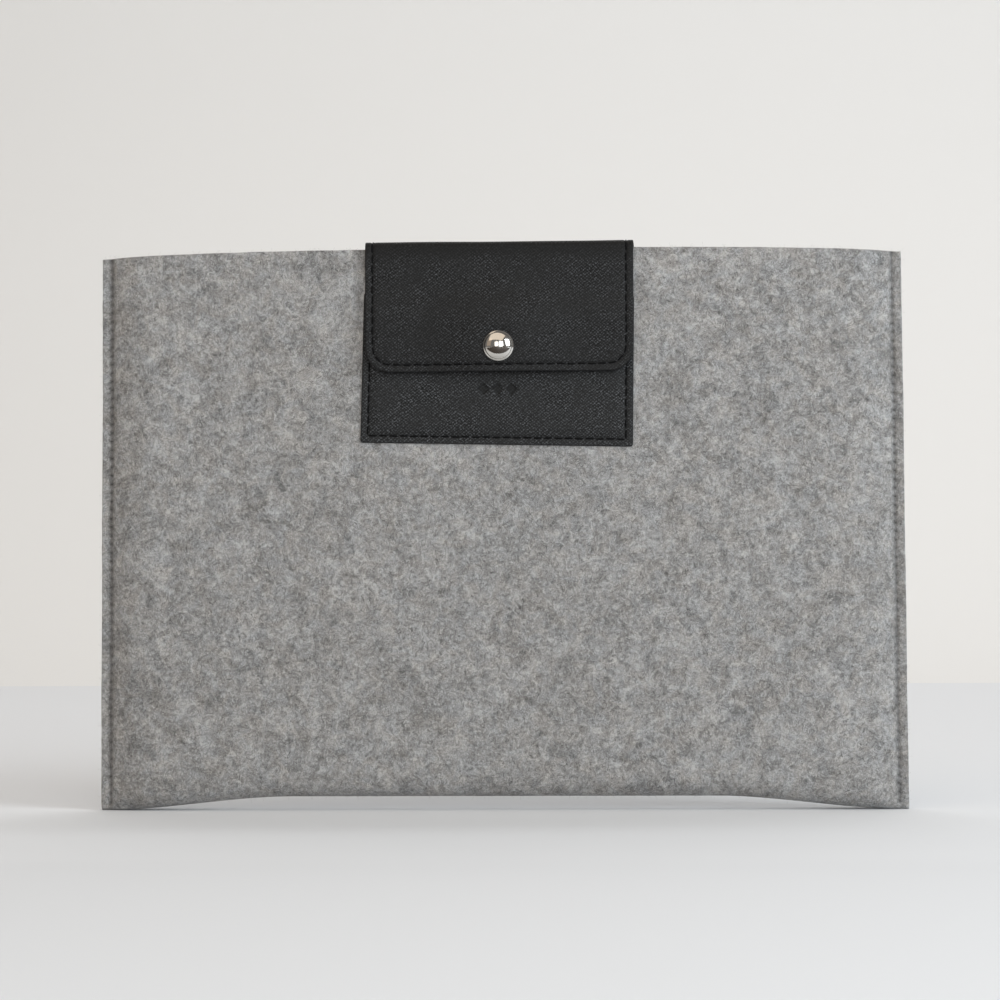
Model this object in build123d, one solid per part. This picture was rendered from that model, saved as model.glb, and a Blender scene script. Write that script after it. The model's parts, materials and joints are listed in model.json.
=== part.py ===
"""A laptop sleeve: one piece of thick felt folded at the bottom and sewn up its two sides, closed by a
two-ply leather flap that is sewn to the back, crosses the mouth and snaps onto a leather patch on the front.

Frame: X across the sleeve, +Y to the back, +Z up. The origin is on the surface that the sleeve stands on,
in the middle of its width and of its depth. The front looks along -Y. Sizes are in millimetres.
"""

from build123d import *
import os
from math import atan, cos, radians, sin

# ---- Driving dimensions: the felt pocket -------------------------------------------------------------
SLEEVE_WIDTH = 335.0  # over the two sewn edges
SIDE_HEIGHT = 230.0  # of a sewn edge
FELT = 3.0  # thickness of the felt
POCKET_GAP = 12.4  # free space between the front and back panels
SEAM_GAP = 0.3  # what is left of it where the panels are sewn together
SEAM_INSET = 4.0  # from a side edge to its row of stitches
SEAM_STRIP = 5.0  # width of the edge that lies flat, panel on panel
FLAT_HALF = 144.0  # the panels are parallel out to here, then close towards the seam
FOLD_LIFT = 6.0  # a filled pocket lifts the middle of the fold off the table ...
FOLD_FLAT_HALF = 100.0  # ... by all of that out to here ...
FOLD_EAR = 156.0  # ... and by nothing from here to the corners, which it stands on
MOUTH_CROWN = 2.3  # the mouth's edge is higher in the middle than at the sides
POCKET_Y = 4.0  # the pocket's middle plane, so that the whole object's depth is centred on Y = 0

# ---- Leather -----------------------------------------------------------------------------------------
OUTER_PLY = 1.2
LINING_PLY = 0.9
FLAP_WIDTH = 110.5
FLAP_CORNER = 10.0  # corner radius at both ends of the strap
ANCHOR_SINK = 0.3  # how far the stitches pull the strap into the back panel
ANCHOR_HEIGHT = 46.0
ANCHOR_TOP_GAP = 0.6  # the rigid anchor ends this far under the bend, which gives the bend room
BEND_RADIUS = 1.5  # inside radius of both bends of the strap
BACK_EASE, FRONT_EASE = 3.4, 1.0  # how far onto the bridge the leather gives when a bend opens
FRONT_OFF = 0.4  # the strap comes down this far in front of the felt
TONGUE_TILT = 9.0  # degrees: it leans out over the snap, then hangs straight
TONGUE_BOW_RADIUS = 60.0
TONGUE_END_BELOW_MOUTH = 51.3
PATCH_WIDTH = 112.0
PATCH_HEIGHT = 62.0
PATCH_THICK = 1.4
PATCH_SINK = 0.5
PATCH_BOTTOM_BELOW_MOUTH = 80.8
MARK_BELOW_MOUTH = 57.9  # the plain pressed mark on the patch: a row of lozenges
MARK_DEPTH = 0.3
LOZENGE_WIDE, LOZENGE_HIGH, LOZENGE_PITCH, LOZENGES = 4.0, 4.0, 5.4, 3

# ---- Snap fastener -----------------------------------------------------------------------------------
SNAP_BELOW_MOUTH = 40.8
CAP_RADIUS, CAP_HEIGHT, CAP_LIP = 6.25, 3.2, 0.9
CAP_POST_RADIUS, CAP_POST_BORE = 1.5, 0.9
SOCKET_RADIUS, SOCKET_HEIGHT, SOCKET_HOLE, SOCKET_FLOOR = 5.8, 2.9, 2.55, 0.5
SOCKET_GROOVE_RADIUS, SOCKET_GROOVE_WIDTH = 2.95, 0.8
SPRING_RADIUS, SPRING_WIRE = 2.3, 0.28
STUD_BASE_RADIUS, STUD_BASE_THICK, STUD_HEIGHT = 5.0, 0.6, 2.75
STUD_NECK, STUD_BULB = 1.7, 2.2
POST_FLANGE_RADIUS, POST_FLANGE_THICK, POST_RADIUS = 4.8, 0.5, 1.0
SNAP_RIM_GAP = 0.15  # between the socket's rim and the stud's base when snapped
METAL_CLEARANCE = 0.05

# ---- Stitching ---------------------------------------------------------------------------------------
STITCH_PITCH = 4.2
SEAM_PITCH = 3.6
THREAD_RADIUS = 0.28
LEATHER_STITCH_INSET = 3.0
HOLE_SHARE = 2.3  # two thread radii and a little: both ends in one hole lie side by side

# ---- Worked out --------------------------------------------------------------------------------------
HALF_WIDTH = SLEEVE_WIDTH / 2
HALF_GAP = POCKET_GAP / 2
FACE = HALF_GAP + FELT  # the outside of a panel, from the pocket's middle plane
SEAM_LINE = HALF_WIDTH - SEAM_INSET
STRIP_START = HALF_WIDTH - SEAM_STRIP
SEAM_FACE = SEAM_GAP / 2 + FELT
MOUTH = SIDE_HEIGHT + MOUTH_CROWN  # height of the mouth's edge in the middle
PLIES = LINING_PLY + OUTER_PLY
PATCH_FACE = FACE - PATCH_SINK + PATCH_THICK  # the patch's outside, forward of the middle plane
PATCH_TOP = MOUTH - PATCH_BOTTOM_BELOW_MOUTH + PATCH_HEIGHT
SNAP_Z = MOUTH - SNAP_BELOW_MOUTH
LINING_AT_SNAP = PATCH_FACE + STUD_BASE_THICK + SNAP_RIM_GAP + SOCKET_HEIGHT
ANCHOR_TOP = MOUTH  # where the strap starts to bend over the mouth


# ---- The felt ----------------------------------------------------------------------------------------
def smooth(t):
    t = min(1.0, max(0.0, t))
    return t * t * (3 - 2 * t)


def half_gap(x):
    """Half of the space between the panels at a distance x from the middle."""
    t = min(1.0, max(0.0, (x - FLAT_HALF) / (SEAM_LINE - FLAT_HALF)))
    return max(SEAM_GAP / 2, HALF_GAP * (1 - t * t))


def half_outside(x, step=0.1):
    """Half of the thickness over the panels, which keep their thickness where they slope."""
    slope = (half_gap(x - step) - half_gap(x + step)) / (2 * step)
    return half_gap(x) + FELT / cos(atan(slope))


def fold_height(x):
    """Underside of the fold."""
    return FOLD_LIFT * (1 - smooth((x - FOLD_FLAT_HALF) / (FOLD_EAR - FOLD_FLAT_HALF)))


def u_outline(x, outside, inside):
    """The folded felt's section at x: a U, taller than the sleeve, which is trimmed later."""
    top = SIDE_HEIGHT + 3 * MOUTH_CROWN
    low = fold_height(abs(x))
    r_out = outside - 0.5 if outside > 2 * FELT else outside - 1.1
    r_in = max(inside - 0.3, inside * 0.7)
    with BuildSketch(Plane.YZ.offset(x)) as section:
        with BuildLine():
            FilletPolylineU(outside, low, top, r_out)
            FilletPolylineU(inside, low + FELT, top, r_in)
            for side in (-1, 1):
                Line((side * outside, top), (side * inside, top))
        make_face()
    return section.sketch.face()


def FilletPolylineU(half, low, top, radius):
    """A U of straight runs joined by two round corners."""
    corners = [(-half, top), (-half, low), (half, low), (half, top)]
    return FilletPolyline(*corners, radius=radius)


def felt_body():
    stations = [100, 108, 116, 124, 132, 140, 144, 148, 152, 156, 159, 161.4, STRIP_START]
    sections = [u_outline(x, half_outside(x), half_gap(x)) for x in stations[:-1]]
    strip = u_outline(STRIP_START, SEAM_FACE, SEAM_GAP / 2)
    flank = loft([*sections, strip], ruled=True)
    edge = extrude(strip, HALF_WIDTH - STRIP_START, dir=(1, 0, 0))
    middle = extrude(sections[0], 2 * stations[0], dir=(-1, 0, 0))
    other_side = [mirror(part, about=Plane.YZ) for part in (flank, edge)]
    body = middle + [flank, edge, *other_side]

    with BuildSketch(Plane.XZ) as under_the_mouth:
        with BuildLine():
            ThreePointArc((-HALF_WIDTH, SIDE_HEIGHT), (0, MOUTH), (HALF_WIDTH, SIDE_HEIGHT))
            Polyline((HALF_WIDTH, SIDE_HEIGHT), (HALF_WIDTH, 0), (-HALF_WIDTH, 0), (-HALF_WIDTH, SIDE_HEIGHT))
        make_face()
    body &= extrude(under_the_mouth.sketch, 2 * FACE, both=True)

    patch_seat = Pos(0, -FACE, PATCH_TOP - PATCH_HEIGHT / 2) * Box(PATCH_WIDTH, 2 * PATCH_SINK, PATCH_HEIGHT)
    body -= patch_seat
    anchor_low = ANCHOR_TOP - ANCHOR_HEIGHT
    anchor_seat = Pos(0, FACE, anchor_low + ANCHOR_HEIGHT) * Box(
        FLAP_WIDTH, 2 * ANCHOR_SINK, 2 * ANCHOR_HEIGHT
    )
    body -= anchor_seat
    flange_depth = POST_FLANGE_THICK + METAL_CLEARANCE
    flange_room = Cylinder(POST_FLANGE_RADIUS + METAL_CLEARANCE, 2 * flange_depth)
    body -= snap_frame(FACE - PATCH_SINK) * flange_room
    return body


# ---- The strap's path: the inside face of the lining, from the anchor over the mouth to the tongue's end
class Path:
    """Straight and round runs in the YZ plane, walked from the back. `at` gives a point and a direction."""

    def __init__(self, y, z, heading):
        self.runs = []
        self.end = (y, z, heading)
        self.length = 0.0

    def add(self, length, radius=None):
        """A straight run, or one that turns left on a circle."""
        self.runs.append((self.length, length, radius, self.end))
        self.length += length
        self.end = self._walk(self.end, length, radius)
        return self.length

    @staticmethod
    def _walk(start, length, radius):
        y, z, heading = start
        if radius is None:
            return y + length * cos(heading), z + length * sin(heading), heading
        turned = heading + length / radius
        centre_y, centre_z = y - radius * sin(heading), z + radius * cos(heading)
        return centre_y + radius * sin(turned), centre_z - radius * cos(turned), turned

    def at(self, s, out=0.0):
        """(y, z, heading) at s, moved out by a distance from the inside face."""
        for begin, length, radius, start in self.runs:
            if s <= begin + length or begin + length == self.length:
                y, z, heading = self._walk(start, s - begin, radius)
                return y + out * sin(heading), z - out * cos(heading), heading


def strap_path():
    """The path, and the distances along it where each stretch ends."""
    quarter = radians(90)
    tilt = radians(TONGUE_TILT)
    path = Path(FACE - ANCHOR_SINK, ANCHOR_TOP - ANCHOR_HEIGHT, quarter)
    ends = {"anchor": path.add(ANCHOR_HEIGHT - ANCHOR_TOP_GAP)}
    path.add(ANCHOR_TOP_GAP)
    path.add(BEND_RADIUS * quarter, BEND_RADIUS)
    ends["back_fold"] = path.add(BACK_EASE)
    front_centre = -(FACE + FRONT_OFF - BEND_RADIUS)
    ends["bridge"] = path.add(path.end[0] - front_centre - FRONT_EASE)
    path.add(FRONT_EASE)
    ends["front_fold"] = path.add(BEND_RADIUS * (quarter - tilt), BEND_RADIUS)
    bow_reach = TONGUE_BOW_RADIUS * (1 - cos(tilt))
    path.add((LINING_AT_SNAP + path.end[0] - bow_reach) / sin(tilt))
    path.add(TONGUE_BOW_RADIUS * tilt, TONGUE_BOW_RADIUS)
    ends["tongue"] = path.add(path.end[1] - (MOUTH - TONGUE_END_BELOW_MOUTH))
    return path, ends


PATH, ENDS = strap_path()
STRETCHES = {}
_begin = 0.0
for _name, _end in ENDS.items():
    STRETCHES[_name] = (_begin, _end)
    _begin = _end


def ply(stretch, inner, outer):
    """One ply of the strap over one stretch of the path: its section, extruded across the strap."""
    begin, end = STRETCHES[stretch]
    pieces = []
    for run_begin, length, radius, start in PATH.runs:
        s0, s1 = max(begin, run_begin), min(end, run_begin + length)
        if s1 - s0 < 1e-6:
            continue
        corners = {(s, d): PATH.at(s, d)[:2] for s in (s0, s1) for d in (inner, outer)}
        middle = (s0 + s1) / 2
        with BuildSketch(Plane.YZ.offset(-FLAP_WIDTH / 2)) as section:
            with BuildLine():
                for d in (inner, outer):
                    if radius is None:
                        Line(corners[s0, d], corners[s1, d])
                    else:
                        ThreePointArc(corners[s0, d], PATH.at(middle, d)[:2], corners[s1, d])
                for s in (s0, s1):
                    Line(corners[s, inner], corners[s, outer])
            make_face()
        pieces.append(extrude(section.sketch, FLAP_WIDTH, dir=(1, 0, 0)))
    whole = pieces[0]
    for piece in pieces[1:]:
        whole += piece
    return whole


def rounded_end(low, high):
    """A prism through the depth that rounds the strap's two corners at the height `low`."""
    with BuildSketch(Plane.XZ) as outline:
        with Locations((0, (low + high) / 2)):
            Rectangle(FLAP_WIDTH, high - low)
        fillet(outline.vertices().sort_by(Axis.Z)[:2], FLAP_CORNER)
    return extrude(outline.sketch, 40, both=True)


def strap_plies():
    """Both plies, stretch by stretch. On the real strap each ply is one piece of leather."""
    layers = {"lining": (0.0, LINING_PLY), "outer": (LINING_PLY, PLIES)}
    high = MOUTH + 20
    ends = {
        "anchor": rounded_end(ANCHOR_TOP - ANCHOR_HEIGHT, high),
        "tongue": rounded_end(MOUTH - TONGUE_END_BELOW_MOUTH, high),
    }
    rivet_hole = snap_frame(0) * Cylinder(CAP_POST_RADIUS + METAL_CLEARANCE, 60)
    made = {}
    for layer, (inner, outer) in layers.items():
        for stretch in STRETCHES:
            piece = ply(stretch, inner, outer)
            if stretch in ends:
                piece &= ends[stretch]
            if stretch == "tongue":
                piece -= rivet_hole
            made[f"flap_{layer}_{stretch}"] = piece
    return made


# ---- The patch ---------------------------------------------------------------------------------------
def patch():
    low = PATCH_TOP - PATCH_HEIGHT
    middle_y = -(PATCH_FACE - PATCH_THICK / 2)
    body = Pos(0, middle_y, low + PATCH_HEIGHT / 2) * Box(PATCH_WIDTH, PATCH_THICK, PATCH_HEIGHT)
    corners = body.edges().filter_by(Axis.Y)
    body = fillet(corners, 1.0)
    body -= snap_frame(0) * Cylinder(POST_RADIUS + METAL_CLEARANCE, 60)
    with BuildSketch(Plane.XZ.offset(PATCH_FACE - MARK_DEPTH)) as mark:
        for i in range(LOZENGES):
            across = (i - (LOZENGES - 1) / 2) * LOZENGE_PITCH
            with Locations((across, MOUTH - MARK_BELOW_MOUTH)):
                Polygon(
                    (-LOZENGE_WIDE / 2, 0), (0, -LOZENGE_HIGH / 2), (LOZENGE_WIDE / 2, 0), (0, LOZENGE_HIGH / 2)
                )
    return body - extrude(mark.sketch, 1.0)


# ---- The snap: turned parts, each drawn as (radius, distance out from its seat) ----------------------
def snap_frame(forward):
    """Places a part whose own +Z points out of the front, on a seat that far from the middle plane."""
    return Plane(origin=(0, -forward, SNAP_Z), x_dir=(1, 0, 0), z_dir=(0, -1, 0)).location


def turned(face, forward):
    return snap_frame(forward) * revolve(face, Axis.Z)


def profile(*points):
    return make_face(Polyline(*[(r, 0, h) for r, h in points], close=True))


def snap_cap():
    """The domed cap with its tubular post, which is spread over the socket's floor."""
    forward = LINING_AT_SNAP + PLIES
    reach = -(PLIES + SOCKET_FLOOR + METAL_CLEARANCE)
    roll = 0.25
    outline = [
        Line((0, 0, CAP_HEIGHT - 0.6), (0, 0, CAP_HEIGHT)),
        ThreePointArc((0, 0, CAP_HEIGHT), (CAP_RADIUS * 0.66, 0, CAP_HEIGHT * 0.77), (CAP_RADIUS, 0, CAP_LIP)),
        ThreePointArc((CAP_RADIUS, 0, CAP_LIP), (CAP_RADIUS - 0.12, 0, 0.25), (CAP_RADIUS - 0.5, 0, 0)),
        Polyline((CAP_RADIUS - 0.5, 0, 0), (CAP_POST_RADIUS, 0, 0), (CAP_POST_RADIUS, 0, reach)),
        Polyline((CAP_POST_RADIUS, 0, reach), (CAP_POST_RADIUS + 0.35, 0, reach)),
        Polyline((CAP_POST_RADIUS + 0.35, 0, reach), (CAP_POST_RADIUS + 0.35, 0, reach - roll)),
        Polyline((CAP_POST_RADIUS + 0.35, 0, reach - roll), (CAP_POST_BORE, 0, reach - roll)),
        Polyline((CAP_POST_BORE, 0, reach - roll), (CAP_POST_BORE, 0, CAP_HEIGHT - 0.6)),
        Line((CAP_POST_BORE, 0, CAP_HEIGHT - 0.6), (0, 0, CAP_HEIGHT - 0.6)),
    ]
    return turned(make_face(outline), forward)


def snap_socket():
    """The socket, on the lining. Its mouth looks back at the stud, so distances out are negative."""
    hole, groove = SOCKET_HOLE, SOCKET_GROOVE_RADIUS
    rim, floor = -SOCKET_HEIGHT, -SOCKET_FLOOR
    spring_at = -(LINING_AT_SNAP - PATCH_FACE - spring_height())
    low, high = spring_at - SOCKET_GROOVE_WIDTH / 2, spring_at + SOCKET_GROOVE_WIDTH / 2
    post = CAP_POST_RADIUS + METAL_CLEARANCE
    return turned(
        profile(
            (post, 0), (SOCKET_RADIUS, 0), (SOCKET_RADIUS, -0.9), (SOCKET_RADIUS - 1.0, -1.2),
            (SOCKET_RADIUS - 1.4, rim + 0.3), (SOCKET_RADIUS - 1.7, rim), (hole + 0.3, rim), (hole, rim + 0.3),
            (hole, low), (groove, low), (groove, high), (hole, high), (hole, floor), (post, floor),
        ),
        LINING_AT_SNAP,
    )


def spring_height():
    """How far out from the patch the spring ring lies: behind the stud's bulb."""
    return STUD_BASE_THICK + 0.75


def snap_spring():
    """The spring ring in the socket's groove, cut open so that it can widen over the stud."""
    ring = Torus(SPRING_RADIUS, SPRING_WIRE) - Pos(SPRING_RADIUS, 0, 0) * Box(1.4, 1.0, 1.4)
    return snap_frame(PATCH_FACE + spring_height()) * ring


def snap_stud():
    """The stud, on the patch: a flange, a waist for the spring and a bulb."""
    base, top = STUD_BASE_THICK, STUD_HEIGHT
    hollow = POST_RADIUS + METAL_CLEARANCE
    bulb_low, bulb_mid = base + 1.05, base + 1.55
    return turned(
        profile(
            (hollow, 0), (STUD_BASE_RADIUS, 0), (STUD_BASE_RADIUS, base - 0.2), (STUD_BASE_RADIUS - 0.2, base),
            (STUD_NECK, base), (STUD_NECK, bulb_low), (STUD_BULB, bulb_mid), (STUD_BULB - 0.1, top - 0.25),
            (STUD_BULB - 0.6, top), (hollow, top),
        ),
        PATCH_FACE,
    )


def snap_post():
    """The rivet that holds the stud: a flange between patch and felt, and a post through the patch."""
    through = PATCH_THICK + STUD_HEIGHT
    flange = -POST_FLANGE_THICK
    return turned(
        profile(
            (0, flange), (POST_FLANGE_RADIUS, flange), (POST_FLANGE_RADIUS, 0), (POST_RADIUS, 0),
            (POST_RADIUS, through - 0.4), (0, through - 0.4),
        ),
        PATCH_FACE - PATCH_THICK,
    )


# ---- Lockstitch: each visible stitch dips at both ends to the middle of what it holds together -------
def stitch(run, dip):
    half, thick = run / 2, 2 * THREAD_RADIUS
    outer = [(-half, -dip), (-half, 0), (half, 0), (half, -dip)]
    inner = [(half - thick, -dip), (half - thick, -thick), (thick - half, -thick), (thick - half, -dip)]
    return extrude(Plane.XZ * make_face(Polyline(*outer, *inner, close=True)), THREAD_RADIUS, both=True)


def row_of_stitches(holes, dip):
    """One stitch between each two holes, given as (point, outward direction)."""
    made = []
    for (here, out), (there, _) in zip(holes, holes[1:]):
        along = there - here
        run = along.length - HOLE_SHARE * THREAD_RADIUS
        seat = Plane(origin=(here + there) * 0.5, x_dir=along, z_dir=out)
        made.append(seat.location * stitch(run, dip))
    return made


def holes_along(line, pitch, place):
    """Evenly spaced points of a flat outline, put in place by a function of its two coordinates."""
    count = max(1, round(line.length / pitch))
    marks = [line @ (i / count) for i in range(count + 1)]
    return [place(mark.X, mark.Y) for mark in marks]


def on_plane(y, facing):
    return lambda x, z: (Vector(x, y, z), Vector(0, facing, 0))


def on_strap(out, facing):
    """Places (across, along) on the strap's outside, or with facing -1 on its inside."""

    def place(x, s):
        y, z, heading = PATH.at(s, out)
        return Vector(x, y, z), Vector(0, facing * sin(heading), -facing * cos(heading))

    return place


def seam_threads():
    made = {}
    for name, side in (("left", -1), ("right", 1)):
        line = Line((side * SEAM_LINE, 3.5), (side * SEAM_LINE, SIDE_HEIGHT - 1.0))
        for thread, facing in (("needle", -1), ("bobbin", 1)):
            holes = holes_along(line, SEAM_PITCH, on_plane(facing * SEAM_FACE, facing))
            made[f"{name}_seam_{thread}_thread"] = row_of_stitches(holes, SEAM_FACE - 0.1)
    return made


def patch_threads():
    half = PATCH_WIDTH / 2 - LEATHER_STITCH_INSET
    low = PATCH_TOP - PATCH_HEIGHT + LEATHER_STITCH_INSET
    high = PATCH_TOP - LEATHER_STITCH_INSET
    corners = [(-half, high), (-half, low), (half, low), (half, high), (-half, high)]
    made = {"needle": [], "bobbin": []}
    depth = (PATCH_FACE - HALF_GAP) / 2 - 0.1
    for a, b in zip(corners, corners[1:]):
        side = Line(a, b)
        made["needle"] += row_of_stitches(holes_along(side, STITCH_PITCH, on_plane(-PATCH_FACE, -1)), depth)
        made["bobbin"] += row_of_stitches(holes_along(side, STITCH_PITCH, on_plane(-HALF_GAP, 1)), depth)
    return {f"patch_{thread}_thread": stitches for thread, stitches in made.items()}


def strap_outlines():
    """The strap's stitch lines in (across, along), for its two ends and for its crossing of the mouth."""
    half = FLAP_WIDTH / 2 - LEATHER_STITCH_INSET
    radius = FLAP_CORNER - LEATHER_STITCH_INSET
    anchor_low, anchor_high = LEATHER_STITCH_INSET, ENDS["anchor"] - 3.0
    bridge_low, bridge_high = STRETCHES["bridge"][0] + 0.8, ENDS["bridge"] - 0.8
    tongue_high, tongue_low = STRETCHES["tongue"][0] + 1.0, ENDS["tongue"] - LEATHER_STITCH_INSET

    def u_line(far, near):
        corners = [(-half, far), (-half, near), (half, near), (half, far)]
        return FilletPolyline(*corners, radius=radius)

    return {
        "anchor": [u_line(anchor_high, anchor_low), Line((-half, anchor_high), (half, anchor_high))],
        "bridge": [Line((side * half, bridge_low), (side * half, bridge_high)) for side in (-1, 1)],
        "tongue": [u_line(tongue_high, tongue_low)],
    }


def strap_threads():
    made = {}
    for stretch, lines in strap_outlines().items():
        through_felt = stretch == "anchor"
        needle, bobbin = [], []
        depth = (PLIES + FELT - ANCHOR_SINK) / 2 - 0.1 if through_felt else PLIES / 2 - 0.05
        inside = on_strap(0.0, -1)
        if through_felt:
            inside = lambda x, s: (Vector(x, HALF_GAP, PATH.at(s)[1]), Vector(0, -1, 0))
        for line in lines:
            needle += row_of_stitches(holes_along(line, STITCH_PITCH, on_strap(PLIES, 1)), depth)
            bobbin += row_of_stitches(holes_along(line, STITCH_PITCH, inside), depth)
        made[f"{stretch}_needle_thread"] = needle
        made[f"{stretch}_bobbin_thread"] = bobbin
    return made


# ---- All of it ---------------------------------------------------------------------------------------
def build():
    nodes = {
        "felt_body": felt_body(),
        "stud_patch": patch(),
        "snap_cap": snap_cap(),
        "snap_socket": snap_socket(),
        "snap_spring": snap_spring(),
        "snap_stud": snap_stud(),
        "snap_post": snap_post(),
    }
    nodes.update(strap_plies())
    nodes.update(seam_threads())
    nodes.update(patch_threads())
    nodes.update(strap_threads())
    return nodes


os.makedirs("parts", exist_ok=True)
for node, shape in build().items():
    solids = shape if isinstance(shape, list) else shape.solids()
    placed = [Pos(0, POCKET_Y, 0) * solid for solid in solids]
    export_step(placed[0] if len(placed) == 1 else Compound(children=placed), f"parts/{node}.step")
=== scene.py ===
"""The looks of a felt laptop sleeve with a snapped leather strap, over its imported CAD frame. Metres."""

import json
from math import ceil, cos, hypot, pi, radians, sin

import bmesh
import bpy
import numpy as np
from mathutils import Euler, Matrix, Vector, kdtree, noise


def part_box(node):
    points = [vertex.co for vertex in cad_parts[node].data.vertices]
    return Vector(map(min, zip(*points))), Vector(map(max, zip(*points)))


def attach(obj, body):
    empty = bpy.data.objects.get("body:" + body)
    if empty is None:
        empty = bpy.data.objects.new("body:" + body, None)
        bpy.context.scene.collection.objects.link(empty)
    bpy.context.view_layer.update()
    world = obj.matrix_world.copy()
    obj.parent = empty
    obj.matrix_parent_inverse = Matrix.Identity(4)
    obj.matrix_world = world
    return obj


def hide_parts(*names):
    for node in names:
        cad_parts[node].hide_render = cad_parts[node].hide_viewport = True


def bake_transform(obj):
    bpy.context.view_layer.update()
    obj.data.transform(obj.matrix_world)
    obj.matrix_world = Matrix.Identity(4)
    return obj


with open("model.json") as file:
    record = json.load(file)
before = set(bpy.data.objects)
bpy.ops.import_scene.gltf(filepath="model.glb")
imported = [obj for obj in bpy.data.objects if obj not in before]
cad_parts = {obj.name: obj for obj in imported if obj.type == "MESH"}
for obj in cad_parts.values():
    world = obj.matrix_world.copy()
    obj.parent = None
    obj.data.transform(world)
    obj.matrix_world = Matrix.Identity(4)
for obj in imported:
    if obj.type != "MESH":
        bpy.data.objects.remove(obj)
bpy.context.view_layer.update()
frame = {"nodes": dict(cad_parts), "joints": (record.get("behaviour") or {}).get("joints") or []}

# ---- Sizes read from the frame -----------------------------------------------------------------------
FELT_LOW, FELT_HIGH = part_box("felt_body")
PATCH_LOW, PATCH_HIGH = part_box("stud_patch")
ANCHOR_LOW, ANCHOR_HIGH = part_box("flap_outer_anchor")
LINING_LOW, LINING_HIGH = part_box("flap_lining_anchor")
TONGUE_LOW, TONGUE_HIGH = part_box("flap_outer_tongue")
CAP_LOW, CAP_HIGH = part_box("snap_cap")
CAP_LINING_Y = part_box("snap_socket")[0].y  # the lining's face under the snap
JOINT_AT = {joint["name"]: Vector(joint["pos_m"]) for joint in frame["joints"]}

HALF_WIDTH = FELT_HIGH.x
MOUTH = FELT_HIGH.z  # top of the felt in the middle
POCKET_Y = (FELT_LOW.y + FELT_HIGH.y) / 2
FACE = (FELT_HIGH.y - FELT_LOW.y) / 2  # outside of a panel, from the pocket's middle plane
LINING_PLY = LINING_HIGH.y - LINING_LOW.y
PLIES = ANCHOR_HIGH.y - LINING_LOW.y
HALF_FLAP = ANCHOR_HIGH.x
SNAP_Z = (CAP_LOW.z + CAP_HIGH.z) / 2
CAP_RADIUS = (CAP_HIGH.z - CAP_LOW.z) / 2

# ---- Felt --------------------------------------------------------------------------------------------
FELT = 0.0030
SEAM_GAP = 0.0003
SEAM_LINE = HALF_WIDTH - 0.0040  # the row of stitches
SEAM_FACE = SEAM_GAP / 2 + FELT
FLAT_HALF = 0.144  # the panels are parallel out to here
FOLD_LIFT = 0.0055  # the fold's middle is this far off the floor, a little less than in the CAD
FOLD_FLAT_HALF, FOLD_EAR = 0.088, 0.165  # it is level out to the first, and reaches the floor at the second
CROWN = 0.0026  # the mouth is lower at the sides by this
DRAWN_IN = 0.0021  # and each of its ends is drawn in by this
CUT_ROUND = 0.0005  # rounding of a cut edge of felt
EDGE_TUCK = 0.09  # at the cut sides each face is drawn in by this share of the felt's thickness
RIM_ACROSS, RIM_DOWN = np.array((0.12, 0.5, 0.88)), np.array((0.3, 0.0, 0.3))  # points round the mouth's edge

SEAM_PITCH = 0.0036
SEAM_DEPTH = 0.00085  # the stitches pull the felt in by this
SEAM_STRIP = HALF_WIDTH - SEAM_LINE
STRIP_SPRING = 0.00020  # past them the cut edge springs back by this
SEAM_FIRST, SEAM_LAST = 0.0035, MOUTH - 0.0036  # its lowest and highest holes
SEAM_STEP = (SEAM_LAST - SEAM_FIRST) / round((SEAM_LAST - SEAM_FIRST) / SEAM_PITCH)
HOLE_DEPTH = 0.00050
SEAM_THREAD_RADIUS, SEAM_THREAD_SUNK = 0.00030, 0.00025

# (size of the lumps, seed, height) of the felt's unevenness
PANEL_WAVES = (0.055, 3.1, 0.00045), (0.011, 7.7, 0.00010)
CUT_WAVE, SLOW_CUT_WAVE = (0.006, 1.3, 0.00010), (0.045, 5.3, 0.00022)
LIP_WAVE = (0.008, 9.1, 0.00013)

FIBRES = 900
FIBRE_RADIUS = 0.000020
FIBRE_STEPS, FIBRE_ROOT = 6, 0.0005  # each starts this deep in the felt
ON_MOUTH, ON_SIDES = 0.45, 0.35  # the shares of them on the mouth and on the cut sides

# ---- Leather -----------------------------------------------------------------------------------------
FLAP_CORNER, PATCH_CORNER = 0.010, 0.0012
BEND_RADIUS = (FELT_HIGH.y - 0.0003) - JOINT_AT["back_fold"].y
TONGUE_TILT = radians(9.0)
TONGUE_BOW_RADIUS = 0.060
STITCH_PITCH = 0.0042
STITCH_INSET = 0.0030
THREAD_RADIUS, THREAD_SUNK = 0.00033, 0.00024
GROOVE_DEPTH, PRICK_DEPTH = 0.00024, 0.00020  # along the stitches, and at each needle hole
PATCH_SKEW = radians(1.25)
PATCH_OFF = Vector((-0.0007, 0, -0.0005))  # the patch is sewn a little askew and to one side
PATCH_TAPER = 0.010  # and is narrower at its top than at its foot by this share
PATCH_PILLOW = 0.00034
STRAP_OFF = 0.0002
STRAP_WAVE, PATCH_WAVE = (0.028, 2.2, 0.00022), (0.02, 4.4, 0.00010)
SAG = 0.0021  # away from the snap the tongue lies this much closer to the patch
SETTLE = 0.0010  # over the mouth the strap lies this much closer to the felt
DIMPLE = 0.00035  # the snap's cap presses into the tongue
LOZENGES, LOZENGE_PITCH, LOZENGE_HALF = 3, 0.0058, 0.0026
LOZENGE_DEPTH = 0.00036
MARK_Z = MOUTH - 0.0579


# ---- Meshes ------------------------------------------------------------------------------------------
def smooth(t):
    t = np.clip(t, 0.0, 1.0)
    return t * t * (3 - 2 * t)


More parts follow.
